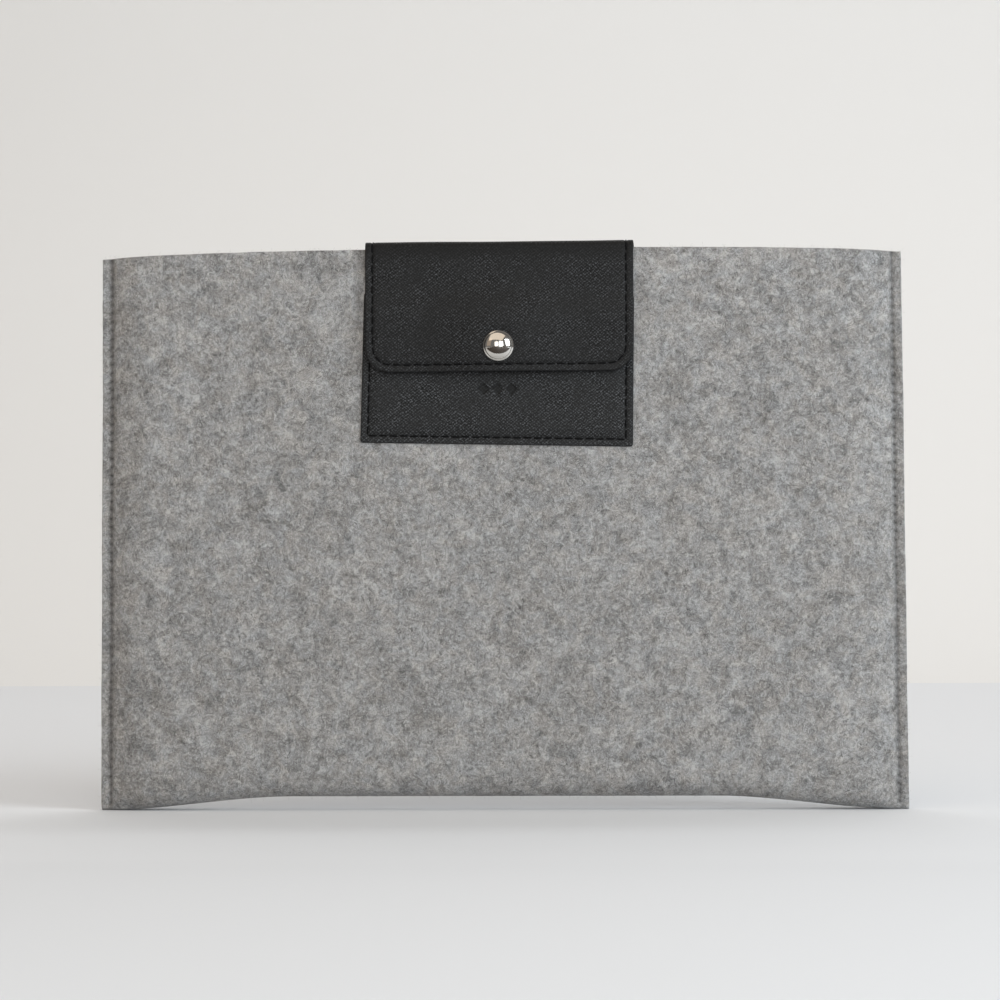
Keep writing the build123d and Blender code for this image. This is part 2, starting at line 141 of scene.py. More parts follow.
def new_piece(name, points, faces, attributes=None, sharp=radians(50)):
    """A smooth-shaded mesh object with outward normals and named per-point values for its material."""
    mesh = bpy.data.meshes.new(name)
    mesh.from_pydata([tuple(p) for p in points], [], faces)
    for key, values in (attributes or {}).items():
        values = np.asarray(values, np.float32)
        kind, field = ("FLOAT", "value") if values.ndim == 1 else ("FLOAT_VECTOR", "vector")
        mesh.attributes.new(key, kind, "POINT").data.foreach_set(field, values.ravel())
    work = bmesh.new()
    work.from_mesh(mesh)
    bmesh.ops.recalc_face_normals(work, faces=work.faces)
    work.to_mesh(mesh)
    work.free()
    mesh.shade_smooth()
    mesh.set_sharp_from_angle(angle=sharp)
    piece = bpy.data.objects.new(name, mesh)
    bpy.context.scene.collection.objects.link(piece)
    return piece


def wobble(points, size, seed=0.0):
    """Smooth noise from -1 to 1 at each point, with lumps about `size` across."""
    return np.array([noise.noise(Vector(p) / size + Vector((seed, seed, seed))) for p in points])


def uneven(x, y, z, *waves):
    """Noise over a grid of places, from waves given as (size of the lumps, seed, height)."""
    points = np.stack([x, y, z], -1).reshape(-1, 3)
    return sum(height * wobble(points, size, seed) for size, seed, height in waves).reshape(x.shape)


def grid_faces(rows, columns, first=0, flip=False):
    faces = []
    for i in range(rows - 1):
        for j in range(columns - 1):
            a = first + i * columns + j
            quad = (a, a + 1, a + columns + 1, a + columns)
            faces.append(quad[::-1] if flip else quad)
    return faces


# ---- The felt: a thick sheet folded to a U ------------------------------------------------------------
def half_gap(x):
    t = np.clip((abs(x) - FLAT_HALF) / (SEAM_LINE - FLAT_HALF), 0.0, 1.0)
    return np.maximum(SEAM_GAP / 2, (FACE - FELT) * (1 - t * t))


def half_outside(x, step=0.0002):
    slope = (half_gap(abs(x) - step) - half_gap(abs(x) + step)) / (2 * step)
    return half_gap(x) + FELT * np.sqrt(1 + slope * slope)


def fold_height(x):
    return FOLD_LIFT * (1 - smooth((abs(x) - FOLD_FLAT_HALF) / (FOLD_EAR - FOLD_FLAT_HALF)))


def mouth_height(x):
    return MOUTH - CROWN * (abs(x) / HALF_WIDTH) ** 3


def drawn_in(x, z):
    """x, moved in towards the mouth's ends."""
    share = np.clip(z / MOUTH, 0, 1) * smooth((abs(x) - 0.09) / 0.07)
    return x - np.sign(x) * DRAWN_IN * share


def felt_stations():
    """Places across the sleeve, closest at its seams."""
    half = [*np.arange(0, 0.1419, 0.002), *np.arange(0.142, 0.1599, 0.001)]
    half += [*np.arange(0.160, 0.1671, 0.00035)]
    half += [HALF_WIDTH - 0.0002, HALF_WIDTH]
    return np.array([-x for x in reversed(half[1:])] + half)


def u_path(half, low, top, radius, side_steps=192, arc_steps=9):
    """Points (y, z) of a U from the front's mouth down, round the fold and up to the back's mouth."""
    down = np.linspace(0, 1, side_steps + 1)
    turn = np.linspace(0, pi / 2, arc_steps + 1)[1:]
    y = np.concatenate([-half + 0 * down, -half + radius - radius * np.cos(turn), [0.0]])
    z = np.concatenate([top + (low + radius - top) * down, low + radius - radius * np.sin(turn), [low]])
    return np.concatenate([y, -y[-2::-1]]), np.concatenate([z, z[-2::-1]])


def felt_grid():
    """x, y and z of the felt's skin: at each station a ring of points, out round the U and back inside it.

    Also the number of points in the outer half of a ring.
    """
    rings = []
    for x in felt_stations():
        inner_half, outer_half = half_gap(x), half_outside(x)
        low, top = fold_height(x), mouth_height(x)
        outer_radius = outer_half - (0.0005 if outer_half > 2 * FELT else 0.0011)
        inner_radius = max(inner_half - 0.0003, inner_half * 0.7)
        oy, oz = u_path(outer_half, low, top - CUT_ROUND, outer_radius)
        iy, iz = u_path(inner_half, low + FELT, top - CUT_ROUND, inner_radius)
        if abs(x) == HALF_WIDTH:  # the cut edge is rounded off
            pairs = (oy, iy), (oz, iz), (iy, oy), (iz, oz)
            oy, oz, iy, iz = [a + (b - a) * EDGE_TUCK for a, b in pairs]
        rim_z = top - CUT_ROUND * RIM_DOWN
        back_rim = oy[-1] + (iy[-1] - oy[-1]) * RIM_ACROSS
        front_rim = iy[0] + (oy[0] - iy[0]) * RIM_ACROSS
        ring_y = np.concatenate([oy, back_rim, iy[::-1], front_rim])
        ring_z = np.concatenate([oz, rim_z, iz[::-1], rim_z])
        rings.append((np.full(len(ring_y), x), ring_y, ring_z))
    x, y, z = (np.array([ring[k] for ring in rings]) for k in range(3))
    return x, y, z, len(oy)


def felt_faces(stations, ring, count):
    """Quads between the rings of the felt's skin, and its two cut ends."""
    faces = []
    for i in range(stations - 1):
        for j in range(ring):
            k = (j + 1) % ring
            faces.append((i * ring + j, i * ring + k, (i + 1) * ring + k, (i + 1) * ring + j))
    for i in (0, stations - 1):
        base = i * ring
        partner = [base + 2 * count + 2 - j for j in range(count)]
        for j in range(count - 1):
            faces.append((base + j, base + j + 1, partner[j + 1], partner[j]))
        back_rim = [base + count - 1 + k for k in range(5)]
        front_rim = [base + 2 * count + 2 + k for k in range(4)] + [base]
        faces += [tuple(back_rim), tuple(front_rim)]
    return faces


def felt_sleeve():
    x, y, z, count = felt_grid()
    outside = np.zeros(x.shape)
    outside[:, :count] = 1

    from_seam = abs(x) - SEAM_LINE
    along = (z - SEAM_FIRST) / SEAM_STEP
    from_hole = abs(along - np.round(along)) * SEAM_STEP
    # the needle holes: the felt sinks there, and its finish paints them near black as painted shade
    pricked = np.exp(-((from_hole / 0.0008) ** 2 + (from_seam / 0.0009) ** 2)) * outside
    pricked = pricked * (z > SEAM_FIRST - 0.001)
    # painted shade along the seam's groove, where the felt's finish paints it darker
    stitch_shade = np.exp(-((from_seam / 0.0012) ** 2)) * outside
    strip = np.clip(from_seam / SEAM_STRIP, 0, 1)
    pulled = np.where(from_seam > 0, (1 - strip) ** 1.2, np.exp(-((from_seam / 0.0011) ** 2)))
    groove = (SEAM_DEPTH * pulled - STRIP_SPRING * strip + HOLE_DEPTH * pricked) * outside
    side = np.sign(y)
    y = y - side * groove * smooth((z - 0.001) / 0.004)

    free = (1 - smooth((abs(x) - 0.135) / 0.02)) * smooth((z - 0.012) / 0.04)
    y = y + free * uneven(x, side * 0.5, z, *PANEL_WAVES)
    x = drawn_in(x, z)
    at_edge = smooth((abs(x) - 0.150) / 0.012)
    x = x + at_edge * (uneven(0 * x, side, z, CUT_WAVE) + uneven(0 * x, side * 0.2, z, SLOW_CUT_WAVE))
    near_mouth = smooth((z - 0.215) / 0.015)
    z = z + near_mouth * uneven(x, side, 0 * z, LIP_WAVE) - near_mouth * LIP_WAVE[2]

    points = np.stack([x, y + POCKET_Y, z], -1).reshape(-1, 3)
    values = {"stitch_shade": stitch_shade.ravel(), "pricked": pricked.ravel()}
    return new_piece("felt_sleeve", points, felt_faces(*x.shape, count), values, sharp=radians(80))


def add_tube(points, faces, line, up, radius, sides, plies=0.0, turns=0.0):
    """Adds a closed tube along a line to a mesh in the making. Twisted plies make its section uneven."""
    first, last = len(points), len(line) - 1
    for k, p in enumerate(line):
        ahead = (line[min(k + 1, last)] - line[max(k - 1, 0)]).normalized()
        side = ahead.cross(up).normalized()
        over = side.cross(ahead)
        for q in range(sides):
            turn = 2 * pi * q / sides
            swell = 1 + plies * cos(2 * turn - k / last * turns * 2 * pi)
            points.append(p + (side * cos(turn) + over * sin(turn)) * radius * swell)
    for k in range(last):
        for q in range(sides):
            here, beside = first + k * sides + q, first + k * sides + (q + 1) % sides
            faces.append((here, beside, beside + sides, here + sides))
    faces.append(tuple(first + q for q in range(sides)))
    faces.append(tuple(first + last * sides + q for q in range(sides)))


def fibre_root(chance):
    """A random place on the mouth, a cut side or the fold, and the way out of the felt there."""
    side = chance.choice((-1, 1))
    where = chance.random()
    if where < ON_MOUTH:
        x = chance.uniform(-HALF_WIDTH, HALF_WIDTH)
        y = side * (half_gap(x) + FELT * chance.uniform(0.05, 0.95))
        return Vector((drawn_in(x, MOUTH), POCKET_Y + y, mouth_height(x))), Vector((0, 0, 1))
    if where < ON_MOUTH + ON_SIDES:
        z = chance.uniform(0.004, MOUTH - 0.004)
        y = side * chance.uniform(SEAM_GAP, 0.9 * SEAM_FACE)
        return Vector((drawn_in(side * HALF_WIDTH, z), POCKET_Y + y, z)), Vector((side, 0, 0))
    x = chance.uniform(-0.118, 0.118)
    y = chance.uniform(-0.5, 0.5) * half_outside(x)
    return Vector((x, POCKET_Y + y, fold_height(x))), Vector((0, 0, -1))


def stray_fibres():
    """Short curling wool fibres that stand out of the felt's edges."""
    chance = np.random.default_rng(11)
    points, faces = [], []
    for _ in range(FIBRES):
        root, out = fibre_root(chance)
        ahead = (out + 0.8 * Vector(chance.normal(size=3)).normalized()).normalized()
        bend = 0.22 * Vector(chance.normal(size=3))
        step = chance.uniform(0.0006, 0.0022) / (FIBRE_STEPS - 1)
        line = [root - out * FIBRE_ROOT]
        for _ in range(FIBRE_STEPS):
            line.append(line[-1] + ahead * step)
            ahead = (ahead + bend).normalized()
        add_tube(points, faces, line, out.orthogonal(), FIBRE_RADIUS, 3)
    return new_piece("felt_stray_fibres", points, faces)


# ---- The strap's path, as in the CAD: the lining's inside face from the anchor to the tongue's end ----
def strap_runs():
    """[(start s, length, radius or None, y, z, heading)], and the place along it of each landmark."""
    runs, marks = [], {}
    at = [LINING_LOW.y, ANCHOR_LOW.z, pi / 2, 0.0]

    def add(length, radius=None):
        y, z, heading, s = at
        runs.append((s, length, radius, y, z, heading))
        at[:3] = walk(y, z, heading, length, radius)
        at[3] = s + length
        return at[3]

    back, front = JOINT_AT["back_fold"], JOINT_AT["front_fold"]
    marks["bend_back"] = add(back.z - ANCHOR_LOW.z)
    marks["bridge"] = add(BEND_RADIUS * pi / 2, BEND_RADIUS)
    marks["bend_front"] = add(at[0] - front.y)
    marks["tongue"] = add(BEND_RADIUS * (pi / 2 - TONGUE_TILT), BEND_RADIUS)
    bow_reach = TONGUE_BOW_RADIUS * (1 - cos(TONGUE_TILT))
    add((at[0] - CAP_LINING_Y - bow_reach) / sin(TONGUE_TILT))
    marks["hang"] = add(TONGUE_BOW_RADIUS * TONGUE_TILT, TONGUE_BOW_RADIUS)
    marks["end"] = add(at[1] - TONGUE_LOW.z)
    return runs, marks


def walk(y, z, heading, length, radius):
    if radius is None:
        return y + length * cos(heading), z + length * sin(heading), heading
    turned = heading + length / radius
    centre_y, centre_z = y - radius * sin(heading), z + radius * cos(heading)
    return centre_y + radius * sin(turned), centre_z - radius * cos(turned), turned


RUNS, MARKS = strap_runs()
SPLIT = (MARKS["bridge"] + MARKS["bend_front"]) / 2
SNAP_S = MARKS["end"] - (SNAP_Z - TONGUE_LOW.z)


def strap_point(u, s, out):
    """A point on the strap: u across, s along, `out` from the lining's inside face."""
    for start, length, radius, y, z, heading in RUNS:
        if s <= start + length or start == RUNS[-1][0]:
            y, z, heading = walk(y, z, heading, s - start, radius)
            out -= sag(u, s) + settled(s)
            return Vector((u + STRAP_OFF, y + out * sin(heading), z - out * cos(heading)))


def sag(u, s):
    """The snap holds the tongue off the patch; away from it the leather comes back towards the patch."""
    away = hypot(u, (s - SNAP_S) * 1.1)
    below_mouth = np.clip((s - MARKS["tongue"]) / 0.022, 0, 1)
    return SAG * float(smooth((away - 0.006) / 0.030) * smooth(below_mouth))


def settled(s):
    """The strap lies closer to the mouth than a round bend would let it."""
    up = smooth((s - MARKS["bend_back"]) / (MARKS["bridge"] - MARKS["bend_back"]))
    down = smooth((MARKS["tongue"] - s) / (MARKS["tongue"] - MARKS["bend_front"]))
    return SETTLE * float(up * down)


def patch_point(u, v, out):
    """A point on the patch: u across, v up from its lower edge, `out` from its back."""
    centre_z = (PATCH_LOW.z + PATCH_HIGH.z) / 2
    dz = v - (PATCH_HIGH.z - PATCH_LOW.z) / 2
    u = u * (1 - PATCH_TAPER * dz / (PATCH_HIGH.z - PATCH_LOW.z))
    x = u * cos(PATCH_SKEW) + dz * sin(PATCH_SKEW)
    z = dz * cos(PATCH_SKEW) - u * sin(PATCH_SKEW)
    return Vector((x, PATCH_HIGH.y - out, centre_z + z)) + PATCH_OFF


# ---- Rows of holes, evenly spaced on a line of straight runs and round corners -----------------------
def rounded_line(corners, radius):
    """Points along a polyline whose inner corners are rounded."""
    points = [Vector(corners[0])]
    for before, corner, after in zip(corners, corners[1:], corners[2:]):
        before, corner, after = Vector(before), Vector(corner), Vector(after)
        into, away = (corner - before).normalized(), (after - corner).normalized()
        start, centre = corner - into * radius, corner - into * radius + away * radius
        points.append(start)
        for k in range(1, 13):
            turn = k / 12 * pi / 2
            points.append(centre - away * radius * cos(turn) + into * radius * sin(turn))
    points.append(Vector(corners[-1]))
    return points


def holes_along(points, pitch):
    lengths = [(b - a).length for a, b in zip(points, points[1:])]
    count = max(1, round(sum(lengths) / pitch))
    holes, walked, segment = [], 0.0, 0
    for k in range(count + 1):
        target = sum(lengths) * k / count
        while segment < len(lengths) - 1 and walked + lengths[segment] < target:
            walked += lengths[segment]
            segment += 1
        share = (target - walked) / lengths[segment]
        holes.append(points[segment].lerp(points[segment + 1], min(1.0, share)))
    return holes


def strap_holes():
    """Holes down one side, across the tongue's end and up the other, and across the anchor's two ends."""
    half, radius = HALF_FLAP - STITCH_INSET, FLAP_CORNER - STITCH_INSET
    low, high = STITCH_INSET, MARKS["end"] - STITCH_INSET
    corners = [(half, SPLIT), (half, high), (-half, high), (-half, SPLIT)]
    front = holes_along(rounded_line(corners, radius), STITCH_PITCH)
    corners = [(half, SPLIT), (half, low), (-half, low), (-half, SPLIT)]
    back = holes_along(rounded_line(corners, radius), STITCH_PITCH)
    across = MARKS["bend_back"] - 0.0040
    cross = holes_along([Vector((-half, across)), Vector((half, across))], STITCH_PITCH)
    return {"front": [front], "back": [back, cross]}


def patch_holes():
    half = (PATCH_HIGH.x - PATCH_LOW.x) / 2 - STITCH_INSET
    low, high = STITCH_INSET, PATCH_HIGH.z - PATCH_LOW.z - STITCH_INSET
    corners = [(-half, high), (-half, low), (half, low), (half, high), (-half, high)]
    return [holes_along([Vector(a), Vector(b)], STITCH_PITCH) for a, b in zip(corners, corners[1:])]


# ---- Leather: a sheet with a rounded outline, soft edges, a stitched groove and needle holes ----------
def outline_inset(u, v, half_width, length, radius):
    """Distance inside a rounded rectangle that spans v from 0 to length."""
    qx = abs(u) - (half_width - radius)
    qy = abs(v - length / 2) - (length / 2 - radius)
    outside = np.hypot(np.maximum(qx, 0), np.maximum(qy, 0))
    return radius - outside - np.minimum(np.maximum(qx, qy), 0)


def outline_half(v, half_width, length, radius):
    from_end = np.clip(np.minimum(v, length - v), 0, radius)
    return half_width - radius + np.sqrt(radius**2 - (radius - from_end) ** 2)


def spread(low, high, fine, coarse, dense):
    """Positions from low to high, `fine` apart within `dense` of both ends and `coarse` between."""
    lip = [0.0, 0.00006, 0.00016, 0.0003, 0.0005, 0.0008]
    ends = [*lip, *np.arange(0.0012, dense, fine)]
    middle = np.linspace(low + dense, high - dense, max(2, ceil((high - low - 2 * dense) / coarse) + 1))
    return np.array([low + e for e in ends] + list(middle) + [high - e for e in reversed(ends)])


def from_holes(points, holes):
    """The distance from each (u, v) to the nearest needle hole."""
    tree = kdtree.KDTree(len(holes))
    for i, hole in enumerate(holes):
        tree.insert((hole.x, hole.y, 0), i)
    tree.balance()
    return np.array([tree.find((u, v, 0))[2] for u, v in points])


def leather_sheet(
    name, outline, rows, columns, place, low, high, holes=None, round_by=0.00035, shape=None, shade_and_mark=None, up=-1
):
    """Both faces of a ply between the heights low and high over a (u, v) grid inside a rounded outline.

    `shape` adds to the upper face's height, `shade_and_mark` says where the colour is darkened, by painted
    shade over a bend and by the patch's own darker mark, and `up` is 1 where v runs upwards, so that the
    grain slants the same way on every piece.
    """
    half_width, length, radius = outline
    v, a = np.meshgrid(rows, columns / half_width, indexing="ij")
    u = a * outline_half(v, half_width, length, radius)
    inset = np.clip(outline_inset(u, v, half_width, length, radius), 0, None)
    bend = np.clip(inset, 0, round_by)
    lip = round_by - np.sqrt(np.maximum(round_by**2 - (round_by - bend) ** 2, 0))
    groove = GROOVE_DEPTH * np.exp(-(((inset - STITCH_INSET) / 0.00075) ** 2))
    away = np.full(u.shape, 1.0)
    if holes:
        away = from_holes(np.stack([u, v], -1).reshape(-1, 2), holes).reshape(u.shape)
    top = high - lip - groove - PRICK_DEPTH * np.exp(-((away / 0.00035) ** 2))
    if shape:
        top = top + shape(u, v, inset)
    bottom = low + lip
    points = [place(*p) for p in zip(u.ravel(), v.ravel(), top.ravel())]
    points += [place(*p) for p in zip(u.ravel(), v.ravel(), bottom.ravel())]
    count, wide = u.shape
    total = count * wide
    faces = grid_faces(count, wide) + grid_faces(count, wide, total, flip=True)
    ring = [*range(wide)] + [i * wide + wide - 1 for i in range(1, count)]
    ring += [(count - 1) * wide + j for j in range(wide - 2, -1, -1)]
    ring += [i * wide for i in range(count - 2, 0, -1)]
    for here, there in zip(ring, ring[1:] + ring[:1]):
        faces.append((there, here, here + total, there + total))
    painted = (1 - smooth((inset - 0.0002) / 0.0004)).ravel()
    # painted shade in the needle holes
    pricked = (1 - smooth(away / 0.0005)).ravel()
    # painted shade along the stitches, between the holes, on the upper face
    between_holes = smooth((away - 0.0003) / 0.0006)
    stitch_shade = (np.exp(-(((inset - STITCH_INSET) / 0.0006) ** 2)) * between_holes).ravel()
    # where the colour is darkened: painted shade over a bend, and the patch's own darker mark
    painted_shade_and_mark = (shade_and_mark(u, v) if shade_and_mark else 0 * u).ravel()
    lie = np.stack([u, up * v, 0 * u], -1).reshape(-1, 3)
    values = {
        "painted": np.concatenate([painted, painted]),
        "stitch_shade": np.concatenate([stitch_shade, 0 * stitch_shade]),
        "pricked": np.concatenate([pricked, 0 * pricked]),
        "painted_shade_and_mark": np.concatenate([painted_shade_and_mark, painted_shade_and_mark]),
        "lie": np.concatenate([lie, lie]),
    }
    return new_piece(name, points, faces, values, sharp=radians(75))


def painted_bend_shade(u, s):
    """How much painted shade darkens the leather, over the front bend and just below it."""
    start, end = MARKS["bend_front"] - 0.004, MARKS["tongue"] + 0.001
    return smooth((s - start) / 0.004) * (1 - smooth((s - end) / 0.007))


def strap_rows(begin, end, pitch):
    """Places along the strap: close together at its rounded ends and round its two bends."""
    length = MARKS["end"]
    rows = list(spread(0, length, 0.0006, pitch, 0.0105))
    for first, last in (("bend_back", "bridge"), ("bend_front", "tongue")):
        rows += list(np.linspace(MARKS[first], MARKS[last], 15))
    rows = sorted({round(s, 6) for s in rows if begin < s < end} | {begin, end})
    kept = [rows[0]]
    for s in rows[1:]:
        if s - kept[-1] > 0.00005:
            kept.append(s)
    return np.array(kept)


def slack(u, s, inset):
    """The strap isn't quite flat: soft, broad unevenness between its edges, and a dimple under the cap."""
    from_cap = np.hypot(u + STRAP_OFF, s - SNAP_S) - CAP_RADIUS
    dimple = DIMPLE * np.exp(-((np.maximum(from_cap, 0) / 0.0018) ** 2))
    return uneven(u, s, 0 * u, STRAP_WAVE) * smooth(inset / 0.006) - dimple


def strap():
    outline = (HALF_FLAP, MARKS["end"], FLAP_CORNER)
    columns = spread(-HALF_FLAP, HALF_FLAP, 0.0005, 0.0026, 0.0054)
    plain_columns = spread(-HALF_FLAP, HALF_FLAP, 0.0016, 0.0040, 0.0060)
    holes = strap_holes()
    made = {}
    for half, ends in {"back": (0.0, SPLIT), "front": (SPLIT, MARKS["end"])}.items():
        name = f"strap_outer_{half}"
        pricks = [hole for row in holes[half] for hole in row]
        grid = strap_rows(*ends, 0.0007), columns
        levels = LINING_PLY, PLIES
        # the outer ply gets painted shade over its front bend
        made[name] = leather_sheet(
            name, outline, *grid, strap_point, *levels, pricks, shape=slack, shade_and_mark=painted_bend_shade
        )
        name = f"strap_lining_{half}"
        grid = strap_rows(*ends, 0.0020), plain_columns
        levels = 0.0, LINING_PLY - 0.00002
        made[name] = leather_sheet(name, outline, *grid, strap_point, *levels, round_by=0.0003)
    return made


def lozenges(u, v):
    """A plain pressed mark: 1 inside a row of lozenges."""
    inside = np.zeros(u.shape)
    for i in range(LOZENGES):
        middle = (i - (LOZENGES - 1) / 2) * LOZENGE_PITCH
        away = abs(u - middle) + abs(v - MARK_Z + PATCH_LOW.z)
        inside = np.maximum(inside, 1 - smooth((away - LOZENGE_HALF + 0.0004) / 0.0006))
    return inside


def patch_shape(u, v, inset):
    """Pillowed inside its stitches, and pressed in at its mark."""
    pillow = PATCH_PILLOW * smooth((inset - STITCH_INSET) / 0.0045)
    return pillow - LOZENGE_DEPTH * lozenges(u, v) + uneven(u, v, 0 * u, PATCH_WAVE) * smooth(inset / 0.005)


def with_close_rows(places, middle, reach, apart=0.0004):
    """Adds places `apart` metres apart round the middle of the pressed mark."""
    close = middle + np.arange(-reach, reach + 0.00001, apart)
    return np.unique(np.round(np.concatenate([places, close]), 6))


def patch():
    length = PATCH_HIGH.z - PATCH_LOW.z
    half_width = (PATCH_HIGH.x - PATCH_LOW.x) / 2
    columns = with_close_rows(spread(-half_width, half_width, 0.0005, 0.0010, 0.0054), 0, 0.009)
    rows = with_close_rows(spread(0, length, 0.0005, 0.0007, 0.0054), MARK_Z - PATCH_LOW.z, 0.003)
    outline = (half_width, length, PATCH_CORNER)
    thick = PATCH_HIGH.y - PATCH_LOW.y
    holes = [hole for row in patch_holes() for hole in row]
    shaped = {"round_by": 0.0004, "shape": patch_shape, "shade_and_mark": lozenges, "up": 1}
    return leather_sheet("patch_leather", outline, rows, columns, patch_point, 0.0, thick, holes, **shaped)


# ---- Stitches: twisted thread that comes out of one hole and goes into the next ----------------------
def stitch_row_mesh(name, rows, place, surface, facing=1, sides=10, rings=11, radius=THREAD_RADIUS):
    """`surface` is the height that the thread lies on; facing -1 is for the far side of what is sewn."""
    points, faces = [], []
    for row in rows:
        for number, (a, b) in enumerate(zip(row, row[1:])):
            run = (b - a).length
            trim = 0.00012 / run
            line = []
            for k in range(rings):
                t = k / (rings - 1)
                share = trim + t * (1 - 2 * trim)
                dip = abs(2 * t - 1) ** 3.5
                lift = radius * 0.45 - dip * radius * 3.2
                lean = 0.00007 * (1 - dip) * (1 if number % 2 else -1)
                p = a.lerp(b, share)
                across = Vector((-(b - a).y, (b - a).x)) / run * lean
                line.append(place(p.x + across.x, p.y + across.y, surface + facing * lift))
            up = place(*a.lerp(b, 0.5), surface + facing * 0.001) - place(*a.lerp(b, 0.5), surface)
            add_tube(points, faces, line, up, radius, sides, 0.16, 2.6)
    return new_piece(name, points, faces, sharp=radians(80))


def seam_point(side, facing):
    def place(u, z, out):
        x = drawn_in(side * SEAM_LINE, z) + u
        return Vector((x, POCKET_Y + facing * out, z))

    return place


def threads():
    made = {}
    seam_level = SEAM_FACE - SEAM_DEPTH - SEAM_THREAD_SUNK
    for name, side in (("left", -1), ("right", 1)):
        holes = [holes_along([Vector((0, SEAM_FIRST)), Vector((0, SEAM_LAST))], SEAM_PITCH)]
        for thread, facing in (("needle", -1), ("bobbin", 1)):
            key = f"{name}_seam_{thread}_thread"
            place = seam_point(side, facing)
            made[key] = stitch_row_mesh(f"sewn_{key}", holes, place, seam_level, 1, radius=SEAM_THREAD_RADIUS)

    on_patch, on_strap = patch_holes(), strap_holes()
    over_mouth = MARKS["bend_back"] - 0.001
    off_anchor = runs_where(on_strap["back"], lambda s: s > over_mouth)
    on_anchor = runs_where(on_strap["back"], lambda s: s <= over_mouth)
    patch_top = PATCH_HIGH.y - PATCH_LOW.y - THREAD_SUNK
    inside_front = PATCH_HIGH.y - (FELT_LOW.y + FELT)
    inside_back = FELT_HIGH.y - FELT - LINING_LOW.y
    hidden, seen_open, seen = (-1, 6, 6), (-1, 8, 9), ()  # which way a row faces, and how finely it is made
    for key, rows, place, level, how in (
        ("patch_needle_thread", on_patch, patch_point, patch_top, seen),
        ("patch_bobbin_thread", on_patch, patch_point, inside_front, hidden),
        ("strap_back_needle", on_strap["back"], strap_point, PLIES - THREAD_SUNK, seen),
        ("strap_front_needle", on_strap["front"], strap_point, PLIES - THREAD_SUNK, seen),
        ("strap_front_bobbin", on_strap["front"], strap_point, 0.0, seen_open),
        ("strap_back_bobbin", off_anchor, strap_point, 0.0, seen_open),
        ("anchor_bobbin_thread", on_anchor, strap_point, inside_back, hidden),
    ):
        made[key] = stitch_row_mesh(f"sewn_{key}", rows, place, level, *how)
    return made


def runs_where(rows, wanted):
    """The runs of holes whose places along the strap are wanted."""
    kept = []
    for row in rows:
        run = []
        for hole in [*row, None]:
            if hole is not None and wanted(hole.y):
                run.append(hole)
                continue
            if len(run) > 1:
                kept.append(run)
            run = []
    return kept


# ---- The snap: turned parts ---------------------------------------------------------------------------
def turned(name, profile, forward, steps=96):
    """Turns (radius, distance out) about the snap's axis; `forward` is the y of its seat."""
    points, faces = [], []
    for r, out in profile:
        for k in range(steps):
            turn = 2 * pi * k / steps
            points.append((r * cos(turn), forward - out, SNAP_Z + r * sin(turn)))
    count = len(profile)
    for i in range(count):
        for k in range(steps):
            j, m = (i + 1) % count, (k + 1) % steps
            faces.append((i * steps + k, i * steps + m, j * steps + m, j * steps + k))
    return new_piece(name, points, faces, sharp=radians(35))


def arc(centre, radius, start, end, steps):
    turns = np.linspace(radians(start), radians(end), steps)
    return [(centre[0] + radius * cos(t), centre[1] + radius * sin(t)) for t in turns]


def snap_cap():
    """A shallow dome with a rolled rim, and the post that goes through the strap."""
    seat = CAP_LINING_Y - PLIES
    crown, roll, edge = seat - CAP_LOW.y, 0.00030, 0.00099
    ends = radians(66)  # the dome's ellipse ends here, and a cone of about 40 degrees goes on to the rim
    rise = (crown - edge) / (1 - cos(ends))
    slopes = np.linspace(0.0002, ends, 40)
    dome = [((CAP_RADIUS - 0.00012) * sin(t), crown - rise * (1 - cos(t))) for t in slopes]
    rim = arc((CAP_RADIUS - roll, roll), roll, 48, -90, 12)
    under = [(CAP_RADIUS - 0.0009, 0.0), (CAP_RADIUS - 0.0011, 0.0003), (0.0022, 0.0004), (0.0015, 0.0)]
    post = [(0.0015, -PLIES - 0.0005), (0.0018, -PLIES - 0.00055), (0.0018, -PLIES - 0.0008)]
    end = [(0.0012, -PLIES - 0.0009), (0.0009, -PLIES - 0.0006), (0.0009, 0.0006), (0.00001, 0.0008)]
    return turned("snap_cap_dome", dome + rim + under + post + end, seat)


# ---- Materials ---------------------------------------------------------------------------------------
WAVE_UNIT = 2 * pi / 20  # the distance between a wave texture's bands at a scale of 1


